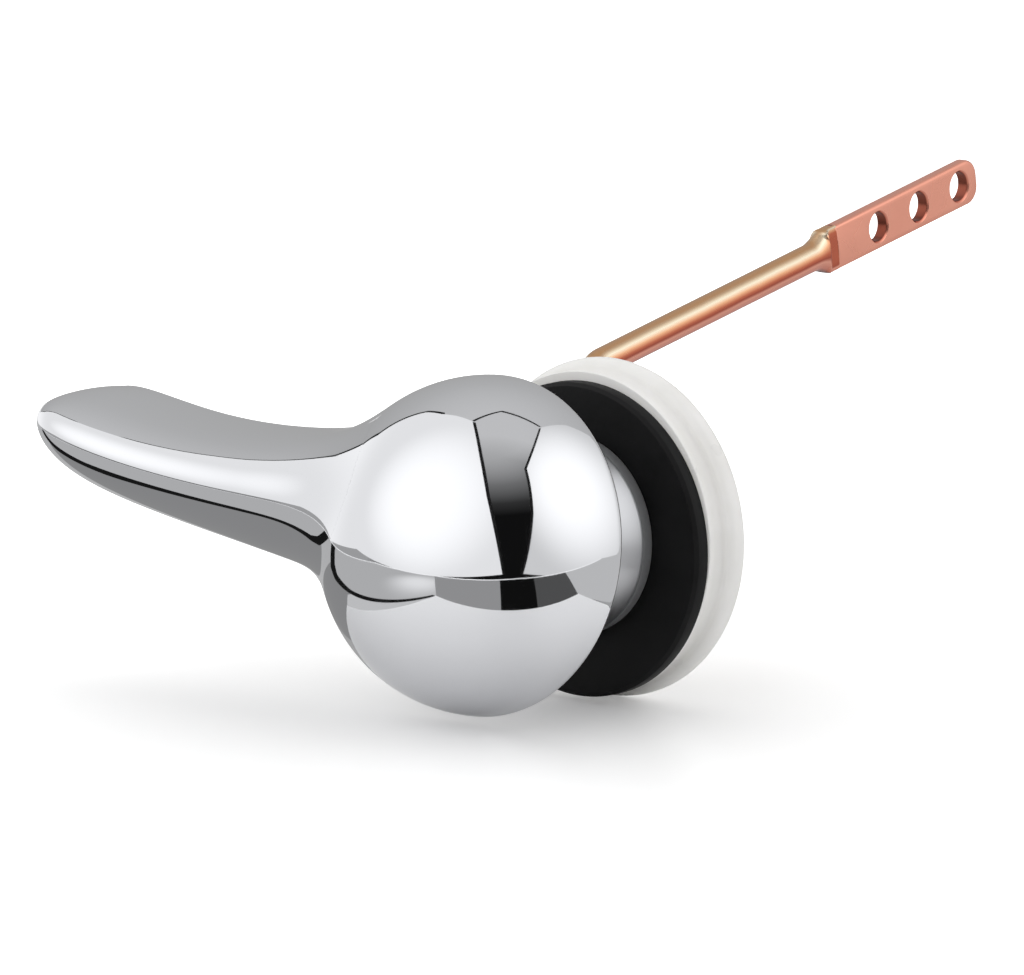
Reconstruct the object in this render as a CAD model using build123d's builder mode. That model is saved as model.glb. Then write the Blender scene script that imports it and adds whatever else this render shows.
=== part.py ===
from build123d import *

import os
from math import cos, radians, sin, sqrt

# Cistern flush lever, in millimetres. It turns about the Y axis: the handle is on the -Y side, outside the
# tank, and the lift arm is on the +Y side, inside it. The origin is on the axis, at the washer's tank face.

# Fits
running_clearance = 0.05
assembly_clearance = 0.3
slip_clearance = 0.05

# Handle casting
ball_radius = 22.8
ball_rise = 0.7
ball_back = 1.3
ball_back_tilt = 10.0
ball_back_round = 1.6
hub_radius = 11.8
hub_length = 5.3
hub_cove = 1.7
lever_length = 70.4
lever_root = 6.0
lever_root_forward = 1.2
lever_tip_forward = 5.0
lever_root_height = 27.1
lever_tip_height = 13.7
lever_root_inset = 3.6
lever_tip_depth = 28.0
lever_root_rise = 3.8
lever_tip_rise = 10.7
lever_tip_fullness = 13.5
lever_taper_power = 2.5
lever_rise_power = 3.05
lever_blend = 15.0
lever_stations = 9
lever_end_turn = 88.5
core_radius = 10.4
core_depth = 20.0
core_rib_width = 2.5
core_rib_count = 4
core_rib_recess = 2.0
boss_radius = 7.2
boss_nose = 3.0

# Turning stop
travel_angle = 35.0
lug_radius = 9.9
lug_angle = 20.0
lug_position = 90.0
stop_clearance_angle = 0.8

# Threaded sleeve
collar_length = 10.9
collar_base_radius = 13.4
collar_neck_radius = 11.6
collar_base_land = 1.9
collar_cone_length = 4.6
collar_edge_round = 0.4
barrel_radius = 8.0
barrel_length = 16.5
barrel_chamfer = 0.8
spring_pocket_radius = 7.0
spring_floor = 2.7

# Rubber washer
washer_radius = 21.2
washer_thickness = 2.3
washer_bevel = 0.6
washer_bore_clearance = 1.1
washer_drop = 0.9

# Tank nut
nut_bore_clearance = 0.1
nut_lip_radius = 21.5
nut_lip_width = 0.6
nut_groove_depth = 0.7
nut_flange_radius = 22.8
nut_flange_start = 3.2
nut_flange_end = 6.4
nut_hex_across_flats = 28.0
nut_hex_chamfer = 0.8
nut_thickness = 10.5

# Spindle
spindle_radius = 4.5
spindle_seat = 16.0
spindle_overhang = 8.7
spindle_chamfer = 0.5

# Thrust washer and retaining clip
thrust_radius = 7.6
thrust_thickness = 1.0
thrust_bore_clearance = 0.2
end_play = 0.05
clip_thickness = 0.8
clip_groove_radius = 3.7
clip_radius = 7.2
clip_ring_width = 1.8
clip_prong_width = 2.6
clip_mouth = 6.4

# Return spring
spring_radius = 5.9
spring_wire = 1.1
spring_pitch = 1.3
spring_turns = 2.5
spring_leg = 2.4
spring_anchor = 1.5
spring_hole_clearance = 0.1

# Lift arm
rod_diameter = 3.9
crank_radius = 25.5
crank_angle = 49.8
arm_heading = 4.4
arm_climb = 9.25
arm_bend = 6.0
arm_length = 90.5
arm_stub = 2.0
arm_behind_clip = 2.6
shoulder_length = 5.6
paddle_length = 32.4
paddle_width = 6.2
paddle_thickness = 1.9
paddle_corner = 2.4
paddle_edge_round = 0.6
chain_hole_diameter = 4.0
chain_hole_chamfer = 0.25
chain_hole_pitch = 9.4
chain_hole_end = 4.2
chain_hole_count = 3

# Grub screw
screw_diameter = 4.0
screw_inset = 0.2
screw_socket = 2.0
screw_socket_depth = 1.2

# Places along the axis
collar_back = -washer_thickness
collar_front = collar_back - collar_length
handle_back = collar_front - assembly_clearance
ball_back_y = handle_back - hub_length
ball_y = ball_back_y - ball_back
lever_root_depth = 2 * (ball_radius - lever_root_inset - lever_root_forward)
boss_end = handle_back + boss_nose
nose_recess = boss_end + assembly_clearance
spring_floor_y = collar_back - spring_floor
thrust_front = barrel_length + end_play
clip_front = thrust_front + thrust_thickness + end_play
clip_back = clip_front + clip_thickness
rod_radius = rod_diameter / 2
arm_y = clip_back + arm_behind_clip
spindle_end = barrel_length + spindle_overhang
screw_front = arm_y + rod_radius + slip_clearance
screw_back = spindle_end - screw_inset


def facing(y):
    """Plane across the axis at y, with X to the right and Z up; it extrudes outwards, towards -Y."""
    return Plane(origin=(0, y, 0), x_dir=(1, 0, 0), z_dir=(0, -1, 0))


def sector(y, radius, start, sweep_angle):
    """Pie-shaped sketch across the axis at y, from a start angle counted from +X towards +Z."""
    with BuildSketch(facing(y)) as pie:
        with BuildLine():
            rim = CenterArc((0, 0), radius, start, sweep_angle)
            Line((0, 0), rim @ 0)
            Line(rim @ 1, (0, 0))
        make_face()
    return pie.sketch


def lever_section(turn):
    """Oval across the lever; turn runs from 0 at the root to nearly a quarter circle at the domed tip."""
    share = sin(turn)
    closing = sqrt(1 - share**lever_tip_fullness)
    thinning = (1 - share) ** lever_taper_power
    height = (lever_tip_height + (lever_root_height - lever_tip_height) * thinning) * closing
    depth = (lever_tip_depth + (lever_root_depth - lever_tip_depth) * thinning) * closing
    rise = lever_root_rise + (lever_tip_rise - lever_root_rise) * share**lever_rise_power
    forward = lever_root_forward + (lever_tip_forward - lever_root_forward) * share**2
    reach = lever_root + (lever_length - lever_root) * share
    place = (-reach, ball_y - forward, ball_rise + rise)
    with BuildSketch(Plane(origin=place, x_dir=(0, -1, 0), z_dir=(-1, 0, 0))) as oval:
        Ellipse(depth / 2, height / 2)
    return oval.sketch


# Line of the return spring's wire, which also places the holes for its two legs
coil_height = spring_turns * spring_pitch
coil_start = (nose_recess + spring_floor_y - coil_height) / 2
with BuildLine() as coil_line:
    coil = Helix(spring_pitch, coil_height, spring_radius, center=(0, coil_start, 0), direction=(0, 1, 0))
front_leg = coil @ 0
back_leg = coil @ 1
leg_hole_radius = spring_wire / 2 + spring_hole_clearance

# The ball's back is cut on a slant, so that its top leans back over the collar
back_slant = radians(ball_back_tilt)
ball_back_plane = Plane(
    origin=(0, ball_back_y, 0),
    x_dir=(1, 0, 0),
    z_dir=(0, -cos(back_slant), sin(back_slant)),
)

# Handle: ball and lever in one casting, cored from the back round a boss for the spindle
with BuildPart() as handle:
    with BuildSketch(Plane(origin=(0, ball_y, ball_rise), x_dir=(1, 0, 0), z_dir=(0, 0, 1))):
        with BuildLine():
            outline = CenterArc((0, 0), ball_radius, -90, 180)
            Line(outline @ 1, outline @ 0)
        make_face()
    revolve(axis=Axis((0, ball_y, ball_rise), (0, 1, 0)))
    turns = [lever_end_turn * station / lever_stations for station in range(lever_stations + 1)]
    loft([lever_section(radians(turn)) for turn in turns])
    fillet(handle.edges(Select.NEW), lever_blend)
    split(bisect_by=ball_back_plane, keep=Keep.TOP)
    fillet(handle.faces().filter_by(ball_back_plane).edges(), ball_back_round)
    with BuildSketch(facing(handle_back)):
        Circle(hub_radius)
    extrude(amount=core_depth)
    fillet(handle.edges(Select.NEW), hub_cove)
    with BuildSketch(facing(handle_back)):
        Circle(core_radius)
        Circle(boss_radius, mode=Mode.SUBTRACT)
    extrude(amount=core_depth, mode=Mode.SUBTRACT)
    with BuildSketch(facing(handle_back - core_rib_recess)):
        with PolarLocations((core_radius + boss_radius) / 2, core_rib_count, start_angle=lug_position):
            Rectangle(core_radius - boss_radius + core_rib_width, core_rib_width)
    extrude(amount=core_depth - core_rib_recess)
    with BuildSketch(facing(boss_end)):
        Circle(boss_radius)
    extrude(amount=boss_nose)
    extrude(
        sector(boss_end, lug_radius, lug_position - lug_angle / 2, lug_angle),
        amount=boss_nose + core_rib_recess,
    )
    with BuildSketch(facing(boss_end)):
        Circle(spindle_radius)
    extrude(amount=boss_nose + spindle_seat, mode=Mode.SUBTRACT)
    with BuildSketch(facing(boss_end)):
        with Locations((front_leg.X, front_leg.Z)):
            Circle(leg_hole_radius)
    extrude(amount=spring_leg + spring_wire, mode=Mode.SUBTRACT)

# Threaded sleeve: the collar against the washer and the barrel through the tank wall, bored for the spindle
with BuildPart() as threaded_sleeve:
    with BuildSketch(Plane.XY):
        with BuildLine():
            land_front = collar_back - collar_base_land
            Polyline(
                (collar_neck_radius, collar_front),
                (collar_neck_radius, land_front - collar_cone_length),
                (collar_base_radius, land_front),
                (collar_base_radius, collar_back),
                (barrel_radius, collar_back),
                (barrel_radius, barrel_length),
                (0, barrel_length),
                (0, collar_front),
                close=True,
            )
        make_face()
    revolve(axis=Axis.Y)
    chamfer(threaded_sleeve.edges().sort_by(Axis.Y)[-1], barrel_chamfer)
    fillet(threaded_sleeve.faces().sort_by(Axis.Y)[0].edges(), collar_edge_round)
    with BuildSketch(facing(barrel_length)):
        Circle(spindle_radius + running_clearance)
    extrude(amount=barrel_length - collar_front, mode=Mode.SUBTRACT)
    with BuildSketch(facing(spring_floor_y)):
        Circle(spring_pocket_radius)
    extrude(amount=spring_floor_y - collar_front, mode=Mode.SUBTRACT)
    with BuildSketch(facing(nose_recess)):
        Circle(boss_radius + assembly_clearance)
    extrude(amount=nose_recess - collar_front, mode=Mode.SUBTRACT)
    stop_start = lug_position - lug_angle / 2 - stop_clearance_angle
    stop_sweep = lug_angle + travel_angle + 2 * stop_clearance_angle
    extrude(
        sector(nose_recess, lug_radius + assembly_clearance, stop_start, stop_sweep),
        amount=nose_recess - collar_front,
        mode=Mode.SUBTRACT,
    )
    with BuildSketch(facing(spring_floor_y + spring_anchor)):
        with Locations((back_leg.X, back_leg.Z)):
            Circle(leg_hole_radius)
    extrude(amount=spring_anchor, mode=Mode.SUBTRACT)

# Rubber washer: hangs a little low on the barrel, because its hole is loose
with BuildPart() as rubber_washer:
    with BuildSketch(facing(0)):
        with Locations((0, -washer_drop)):
            Circle(washer_radius)
            Circle(barrel_radius + washer_bore_clearance, mode=Mode.SUBTRACT)
    extrude(amount=washer_thickness)
    chamfer(rubber_washer.faces().sort_by(Axis.Y)[0].outer_wire().edges(), washer_bevel)

# Tank nut: thin front lip, groove and rounded flange, with a hexagon behind for the wrench
with BuildPart() as tank_nut:
    with BuildSketch(Plane.XY):
        with BuildLine():
            lip = Line((nut_lip_radius, 0), (nut_lip_radius, nut_lip_width))
            groove = ThreePointArc(
                lip @ 1,
                (nut_lip_radius - nut_groove_depth, (nut_lip_width + nut_flange_start) / 2),
                (nut_lip_radius, nut_flange_start),
            )
            flange = ThreePointArc(
                groove @ 1,
                (nut_flange_radius, (nut_flange_start + nut_flange_end) / 2),
                (nut_lip_radius, nut_flange_end),
            )
            Polyline(flange @ 1, (0, nut_flange_end), (0, 0), lip @ 0)
        make_face()
    revolve(axis=Axis.Y)
    with BuildSketch(facing(nut_thickness)):
        RegularPolygon(nut_hex_across_flats / 2, 6, major_radius=False)
    extrude(amount=nut_thickness - nut_flange_end)
    chamfer(tank_nut.faces().sort_by(Axis.Y)[-1].edges(), nut_hex_chamfer)
    with BuildSketch(facing(nut_thickness)):
        Circle(barrel_radius + nut_bore_clearance)
    extrude(amount=nut_thickness, mode=Mode.SUBTRACT)

# Lift arm: a rod cranked out of the spindle, flattened at its end for the chain holes
crank_direction = Vector(-sin(radians(crank_angle)), 0, cos(radians(crank_angle)))
paddle_normal = Vector(cos(radians(arm_heading)), sin(radians(arm_heading)), 0)
arm_direction = Vector(
    -sin(radians(arm_heading)) * cos(radians(arm_climb)),
    cos(radians(arm_heading)) * cos(radians(arm_climb)),
    sin(radians(arm_climb)),
)
arm_centre = Vector(0, arm_y, 0)
arm_start = arm_centre - crank_direction * (spindle_radius + arm_stub)
arm_corner = arm_centre + crank_direction * crank_radius
paddle_start = arm_corner + arm_direction * (arm_length - paddle_length)
shoulder_start = paddle_start - arm_direction * shoulder_length
paddle_plane = Plane(origin=paddle_start, x_dir=arm_direction, z_dir=paddle_normal)
paddle_section = Plane(origin=paddle_start, x_dir=paddle_normal, z_dir=arm_direction)

with BuildPart() as lift_arm:
    with BuildSketch(paddle_plane) as paddle:
        Rectangle(paddle_length, paddle_width, align=(Align.MIN, Align.CENTER))
        fillet(paddle.vertices().group_by(Axis.X)[-1], paddle_corner)
    extrude(amount=paddle_thickness / 2, both=True)
    for side in lift_arm.faces().filter_by(paddle_plane):
        fillet(side.edges().sort_by(Axis(paddle_start, arm_direction))[1:], paddle_edge_round)
    with BuildSketch(paddle_section):
        RectangleRounded(paddle_thickness, paddle_width, paddle_edge_round)
    with BuildSketch(Plane(origin=shoulder_start, x_dir=paddle_normal, z_dir=arm_direction)):
        Circle(rod_radius)
    loft()
    with BuildLine():
        rod_line = FilletPolyline(arm_start, arm_corner, shoulder_start, radius=arm_bend)
    with BuildSketch(Plane(origin=arm_start, z_dir=crank_direction)):
        Circle(rod_radius)
    sweep(path=rod_line)
    with BuildSketch(paddle_plane):
        with Locations((paddle_length - chain_hole_end - chain_hole_pitch * (chain_hole_count - 1) / 2, 0)):
            with GridLocations(chain_hole_pitch, 1, chain_hole_count, 1):
                Circle(chain_hole_diameter / 2)
    extrude(amount=paddle_thickness, both=True, mode=Mode.SUBTRACT)
    chamfer(lift_arm.edges(Select.NEW).filter_by(GeomType.CIRCLE), chain_hole_chamfer)

# Spindle: pressed into the handle, grooved for the clip, cross-drilled for the arm and tapped for its screw
with BuildPart() as spindle:
    with BuildSketch(facing(spindle_end)):
        Circle(spindle_radius)
    extrude(amount=spindle_end - handle_back + spindle_seat)
    chamfer(spindle.edges().filter_by(GeomType.CIRCLE), spindle_chamfer)
    with BuildSketch(facing(clip_back + end_play)):
        Circle(spindle_radius)
        Circle(clip_groove_radius, mode=Mode.SUBTRACT)
    extrude(amount=clip_thickness + 2 * end_play, mode=Mode.SUBTRACT)
    with BuildSketch(Plane(origin=arm_centre, z_dir=crank_direction)):
        Circle(rod_radius + slip_clearance)
    extrude(amount=2 * spindle_radius, both=True, mode=Mode.SUBTRACT)
    with BuildSketch(facing(spindle_end)):
        Circle(screw_diameter / 2)
    extrude(amount=spindle_end - arm_y, mode=Mode.SUBTRACT)

# Thrust washer: nylon ring between the barrel's end and the clip
with BuildPart() as thrust_washer:
    with BuildSketch(facing(thrust_front + thrust_thickness)):
        Circle(thrust_radius)
        Circle(spindle_radius + thrust_bore_clearance, mode=Mode.SUBTRACT)
    extrude(amount=thrust_thickness)

# Retaining clip: open ring with three prongs that reach into the spindle's groove
with BuildPart() as retaining_clip:
    with BuildSketch(facing(clip_back)):
        Circle(clip_radius)
        Circle(clip_radius - clip_ring_width, mode=Mode.SUBTRACT)
        with Locations((clip_radius / 2, 0)):
            Rectangle(clip_radius, clip_mouth, mode=Mode.SUBTRACT)
        with PolarLocations((clip_radius - clip_ring_width / 2) / 2, 3, start_angle=90, angular_range=270):
            Rectangle(clip_radius - clip_ring_width / 2, clip_prong_width)
        Circle(clip_groove_radius + slip_clearance, mode=Mode.SUBTRACT)
    extrude(amount=clip_thickness)

# Return spring: torsion coil round the spindle, with a leg in the handle and a leg in the sleeve. The hidden
# coil's wire is six-sided, which keeps its mesh small.
with BuildPart() as return_spring:
    with BuildSketch(Plane(origin=coil @ 0, z_dir=coil % 0)):
        RegularPolygon(spring_wire / 2, 6)
    sweep(path=coil_line.wire(), is_frenet=True)
    with Locations(front_leg, back_leg):
        Sphere(spring_wire / 2)
    with BuildSketch(facing(front_leg.Y)):
        with Locations((front_leg.X, front_leg.Z)):
            Circle(spring_wire / 2)
    extrude(amount=front_leg.Y - boss_end + spring_leg)
    with BuildSketch(facing(spring_floor_y + spring_anchor - spring_hole_clearance)):
        with Locations((back_leg.X, back_leg.Z)):
            Circle(spring_wire / 2)
    extrude(amount=spring_floor_y + spring_anchor - spring_hole_clearance - back_leg.Y)

# Grub screw: sits in the spindle's end and bears on the rod
with BuildPart() as arm_grub_screw:
    with BuildSketch(facing(screw_back)):
        Circle(screw_diameter / 2)
    extrude(amount=screw_back - screw_front)
    with BuildSketch(facing(screw_back)):
        RegularPolygon(screw_socket / 2, 6, major_radius=False)
    extrude(amount=screw_socket_depth, mode=Mode.SUBTRACT)

pieces = {
    "handle": handle,
    "spindle": spindle,
    "threaded_sleeve": threaded_sleeve,
    "return_spring": return_spring,
    "rubber_washer": rubber_washer,
    "tank_nut": tank_nut,
    "thrust_washer": thrust_washer,
    "retaining_clip": retaining_clip,
    "lift_arm": lift_arm,
    "arm_grub_screw": arm_grub_screw,
}
os.makedirs("parts", exist_ok=True)
for name, piece in pieces.items():
    piece.part.label = name
    export_step(piece.part, f"parts/{name}.step")
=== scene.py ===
# %% [markdown]
# A cistern lever is the handle on the side of a toilet tank. Outside the tank it has a chromed ball
# with a lever in one casting, and a plated collar. A black rubber washer and a white plastic nut
# clamp it to the wall, and a copper-coloured rod reaches into the tank to lift the chain. The packed
# solids come first, because every piece made here sits where its solid sits. Lengths are in metres,
# and the lever turns about the Y axis.

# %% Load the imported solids
from functools import cache
from math import asin, atan2, cos, pi, radians, sin, sqrt, tan

import bmesh
import bpy
from mathutils import Matrix, Vector
from mathutils.geometry import interpolate_bezier


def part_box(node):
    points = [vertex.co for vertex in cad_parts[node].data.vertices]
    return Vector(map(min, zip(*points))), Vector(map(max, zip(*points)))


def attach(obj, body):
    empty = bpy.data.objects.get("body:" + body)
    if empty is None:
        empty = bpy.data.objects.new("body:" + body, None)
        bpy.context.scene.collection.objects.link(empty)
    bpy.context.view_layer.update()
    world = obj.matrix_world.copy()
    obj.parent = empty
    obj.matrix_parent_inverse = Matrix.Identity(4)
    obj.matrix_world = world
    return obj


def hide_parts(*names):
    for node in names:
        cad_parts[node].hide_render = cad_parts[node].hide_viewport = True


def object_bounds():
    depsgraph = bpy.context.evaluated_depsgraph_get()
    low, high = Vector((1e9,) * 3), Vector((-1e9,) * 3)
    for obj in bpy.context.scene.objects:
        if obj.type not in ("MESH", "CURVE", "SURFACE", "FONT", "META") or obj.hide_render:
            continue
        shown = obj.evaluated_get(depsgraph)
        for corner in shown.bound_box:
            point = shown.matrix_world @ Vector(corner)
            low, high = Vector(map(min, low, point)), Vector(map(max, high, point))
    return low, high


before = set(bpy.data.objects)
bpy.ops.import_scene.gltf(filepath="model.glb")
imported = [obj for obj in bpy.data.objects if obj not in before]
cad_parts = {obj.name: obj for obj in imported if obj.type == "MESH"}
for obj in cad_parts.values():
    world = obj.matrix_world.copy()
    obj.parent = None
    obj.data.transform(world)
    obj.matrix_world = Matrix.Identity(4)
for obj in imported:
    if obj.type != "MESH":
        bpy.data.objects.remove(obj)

MM = 0.001
solid_box = [list(corner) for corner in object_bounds()]
print("solids:", ", ".join(sorted(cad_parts)))

# %% [markdown]
# The camera looks at the ball from its front right, a little from above. A long lens from far away
# keeps the rod's far end almost as large as it would be near by, which is how the photograph shows
# it. The frame's width at the object is a real length, so the lens follows from it.

# %% Camera
view_azimuth = radians(41)
view_elevation = radians(10)
to_camera = Vector((
    sin(view_azimuth) * cos(view_elevation),
    -cos(view_azimuth) * cos(view_elevation),
    sin(view_elevation),
))
view_right = Vector((cos(view_azimuth), sin(view_azimuth), 0))
view_up = to_camera.cross(view_right)
view_distance = 5.0
view_width = 136.5 * MM
aim_right, aim_up = -10.1 * MM, 5.8 * MM
aim = view_right * aim_right + view_up * aim_up
camera = bpy.data.objects.new("camera", bpy.data.cameras.new("camera"))
camera.matrix_world = Matrix.Translation(aim + to_camera * view_distance) @ Matrix(
    (view_right, view_up, to_camera)
).transposed().to_4x4()
camera.data.lens = camera.data.sensor_width * view_distance / view_width
camera.data.clip_end = 4 * view_distance
bpy.context.scene.collection.objects.link(camera)
bpy.context.scene.camera = camera
bpy.context.scene.view_settings.view_transform = "Standard"
print("lens", round(camera.data.lens), "mm")

# %% [markdown]
# Most of these pieces are skins of rings: a turned collar is circles along its axis, and a bent rod
# is circles along its line. One helper starts from a circle and extrudes its edge ring by ring. Each
# vertex remembers its angle, so a ring may be any outline that an angle can give, and a closed
# profile ends on its first ring.

# %% Skins of rings
WELD = 0.0005 * MM


def grow_skin(bm, columns, rings):
    """Extrudes a circle through the rings, each of which turns an angle into a point."""
    angle = bm.verts.layers.float.get("angle") or bm.verts.layers.float.new("angle")
    verts = bmesh.ops.create_circle(bm, segments=columns, radius=1.0)["verts"]
    for vert in verts:
        vert[angle] = atan2(vert.co.y, vert.co.x)
        vert.co = rings[0](vert[angle])
    edges = list({edge for vert in verts for edge in vert.link_edges})
    for ring in rings[1:]:
        grown = bmesh.ops.extrude_edge_only(bm, edges=edges)["geom"]
        for item in grown:
            if isinstance(item, bmesh.types.BMVert):
                item.co = ring(item[angle])
        grown_edges = [item for item in grown if isinstance(item, bmesh.types.BMEdge)]
        edges = [edge for edge in grown_edges if edge.is_boundary]


def axis_ring(radius, y, slant=0.0, drop=0.0):
    """Circle round the turning axis, whose radius may be a function of the angle.

    A slant leans the ring back, and a drop lowers it.
    """
    def place(turn):
        reach = radius(turn) if callable(radius) else radius
        return Vector((reach * cos(turn), y + slant * reach * sin(turn), reach * sin(turn) - drop))
    return place


def corner_round(radius, y, size, start, steps=5):
    """Profile of a quarter round about a point; a start of 0 degrees faces outwards."""
    turns = [radians(start + 90 * step / steps) for step in range(steps + 1)]
    return [(radius + size * cos(turn), y + size * sin(turn)) for turn in turns]


def close_skin(bm):
    """Welds the poles and the closing ring, then turns every face outwards."""
    bmesh.ops.remove_doubles(bm, verts=bm.verts[:], dist=WELD)
    bmesh.ops.recalc_face_normals(bm, faces=bm.faces[:])


def add_piece(name, bm, body, node, material, sharp=32):
    """Makes the finished object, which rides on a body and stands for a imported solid."""
    angle = bm.verts.layers.float.get("angle")
    if angle:
        bm.verts.layers.float.remove(angle)
    mesh = bpy.data.meshes.new(name)
    bm.to_mesh(mesh)
    loose = sum(not edge.is_manifold for edge in bm.edges)
    bm.free()
    mesh.shade_smooth()
    mesh.set_sharp_from_angle(angle=radians(sharp))
    mesh.materials.append(material)
    piece = bpy.data.objects.new(name, mesh)
    bpy.context.scene.collection.objects.link(piece)
    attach(piece, body)
    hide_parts(node)
    print(name, len(mesh.polygons), "faces,", loose, "open edges")

# %% [markdown]
# Every finish is a small node tree. Colours are written as sRGB hex, as a colour picker shows them,
# and one function turns them to the linear values that a shader needs. One more function adds a
# node, sets it and links it.

# %% Colours and nodes
def linear(code):
    """Turns an sRGB hex code into a linear colour."""
    shares = [int(code[place:place + 2], 16) / 255 for place in (0, 2, 4)]
    return [s / 12.92 if s <= 0.04045 else ((s + 0.055) / 1.055) ** 2.4 for s in shares] + [1.0]


def add_node(tree, kind, values=(), links=(), **settings):
    """Adds a node, sets its properties and inputs, and links other nodes' outputs to it."""
    node = tree.nodes.new(kind)
    for name, value in settings.items():
        setattr(node, name, value)
    for name, value in dict(values).items():
        node.inputs[name].default_value = value
    for name, output in dict(links).items():
        tree.links.new(output, node.inputs[name])
    return node


def new_finish(name):
    """Starts a material and returns it with its tree, its shader and its coordinates."""
    material = bpy.data.materials.new(name)
    material.use_nodes = True
    tree = material.node_tree
    place = add_node(tree, "ShaderNodeTexCoord").outputs["Object"]
    return material, tree, tree.nodes["Principled BSDF"], place


def ramp_colours(node, stops):
    """Sets the stops of a colour ramp and returns its colour."""
    ramp = node.color_ramp
    while len(ramp.elements) < len(stops):
        ramp.elements.new(0.5)
    for element, (place, colour) in zip(ramp.elements, stops):
        element.position = place
        element.color = colour
    return node.outputs["Color"]

# %% [markdown]
# The finishes use patterns in the same few ways, so each way is a function: noise whose patches have
# a real size, a colour or a roughness that follows a pattern, and a shallow relief. Math nodes get
# one too, which links what comes from another node and sets what is a plain number.

# %% Patterns
NOISE_LOW, NOISE_HIGH = 0.3, 0.7
VECTORS = "ShaderNodeVectorMath"


def noise(tree, place, patch, detail):
    """Noise whose patches have a real size."""
    values = {"Scale": 1 / patch, "Detail": detail}
    return add_node(tree, "ShaderNodeTexNoise", values, {"Vector": place}).outputs["Fac"]


def vary_colour(tree, shader, pattern, stops):
    """Colours the surface by a pattern, through the stops of a ramp."""
    ramp = add_node(tree, "ShaderNodeValToRGB", links={"Fac": pattern})
    tree.links.new(ramp_colours(ramp, stops), shader.inputs["Base Color"])


def vary_roughness(tree, shader, pattern, smooth, rough):
    """Lets the roughness follow a noise between two levels."""
    values = {"From Min": NOISE_LOW, "From Max": NOISE_HIGH, "To Min": smooth, "To Max": rough}
    level = add_node(tree, "ShaderNodeMapRange", values, {"Value": pattern})
    tree.links.new(level.outputs["Result"], shader.inputs["Roughness"])


def add_relief(tree, shader, pattern, strength, depth):
    """Raises the surface by a pattern, without moving it."""
    values = {"Strength": strength, "Distance": depth}
    bump = add_node(tree, "ShaderNodeBump", values, {"Height": pattern})
    tree.links.new(bump.outputs["Normal"], shader.inputs["Normal"])


def reckon(tree, operation, *terms, kind="ShaderNodeMath", output="Value"):
    """Result of a math node on outputs of other nodes and plain values."""
    links = {
        number: term for number, term in enumerate(terms) if isinstance(term, bpy.types.NodeSocket)
    }
    values = {number: term for number, term in enumerate(terms) if number not in links}
    return add_node(tree, kind, values, links, operation=operation).outputs[output]

# %% [markdown]
# Chrome plate on a polished zinc casting is close to a mirror. What gives it away as metal is a faint
# haze that changes over a few millimetres, where the buffing wheel went, and a very slight waviness
# under the plate. Both come from noise, so no reflection is painted on.

# %% Chrome plate
BUFF_WAVE = 9 * MM
HAZE_PATCH = 4 * MM
chrome, tree, shader, place = new_finish("polished_chrome_plate")
shader.inputs["Base Color"].default_value = linear("E6E7EA")
shader.inputs["Metallic"].default_value = 1.0
vary_roughness(tree, shader, noise(tree, place, HAZE_PATCH, 3.0), 0.02, 0.05)
add_relief(tree, shader, noise(tree, place, BUFF_WAVE, 1.0), 0.5, 0.02 * MM)
print(chrome.name)

# %% [markdown]
# The handle is one casting: a ball cut flat on a slant at its back, a short hub that turns against
# the collar, and a lever that grows out of the ball's side. A subdivided cage would do, but a mirror
# shows every pinch in it. Here the ball is rings round the axis of its slanted back, so the rim is
# clean, and the hub and hidden core follow as more rings. The lever is another skin, and its last
# rings flare along curves that touch both surfaces.

# %% Ball, rim and hub
COLUMNS = 144
handle_low, handle_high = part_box("handle")
ball_radius = handle_high.x
ball_centre = Vector((0, handle_low.y + ball_radius, handle_high.z - ball_radius))
ball_back = 1.3 * MM
back_slant = radians(10)
rim_round = 1.6 * MM
hub_radius = 11.8 * MM
hub_length = 5.3 * MM
hub_cove = 1.7 * MM
hub_round = 0.3 * MM
ball_axis = Vector((0, -cos(back_slant), sin(back_slant)))
ball_side = ball_axis.cross(Vector((1, 0, 0)))
back_y = ball_centre.y + ball_back
handle_back = back_y + hub_length
back_depth = ball_axis.dot(ball_centre - Vector((0, back_y, 0)))
rim_ahead = rim_round - back_depth
rim_reach = sqrt((ball_radius - rim_round) ** 2 - rim_ahead ** 2)
rim_start = atan2(rim_ahead, rim_reach)


def ball_ring(radius, ahead):
    """Circle round the axis of the ball's slanted back."""
    return lambda turn: ball_centre + ball_axis * ahead + (
        Vector((cos(turn), 0, 0)) + ball_side * sin(turn)
    ) * radius


def rim_ring(bend):
    """Ring of the rim's round; bend goes from 0 at the ball to 1 at the flat back."""
    roll = rim_start - (pi / 2 + rim_start) * bend
    return ball_ring(rim_reach + rim_round * cos(roll), rim_ahead + rim_round * sin(roll))


ball_rows = 96
rim_steps = 8
cove_steps = 6
polar_turns = [(pi / 2 - rim_start) * row / ball_rows for row in range(ball_rows + 1)]
rings = [ball_ring(ball_radius * sin(turn), ball_radius * cos(turn)) for turn in polar_turns]
rings += [rim_ring(step / rim_steps) for step in range(1, rim_steps + 1)]
for step in range(cove_steps + 1):
    turn = radians(90 * step / cove_steps)
    cove_radius = hub_radius + hub_cove * (1 - sin(turn))
    rings.append(axis_ring(cove_radius, back_y + hub_cove * (1 - cos(turn)), tan(back_slant)))
hub_edge = corner_round(hub_radius - hub_round, handle_back - hub_round, hub_round, 0)
rings += [axis_ring(radius, y) for radius, y in hub_edge]
print("ball of", round(2000 * ball_radius, 1), "mm")

# %% [markdown]
# Inside the hub the casting is cored out round a boss that holds the spindle, and a lug on the boss
# meets a stop in the collar. None of it shows from outside, but the rings can go on through it, so
# the skin closes on itself.

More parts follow.
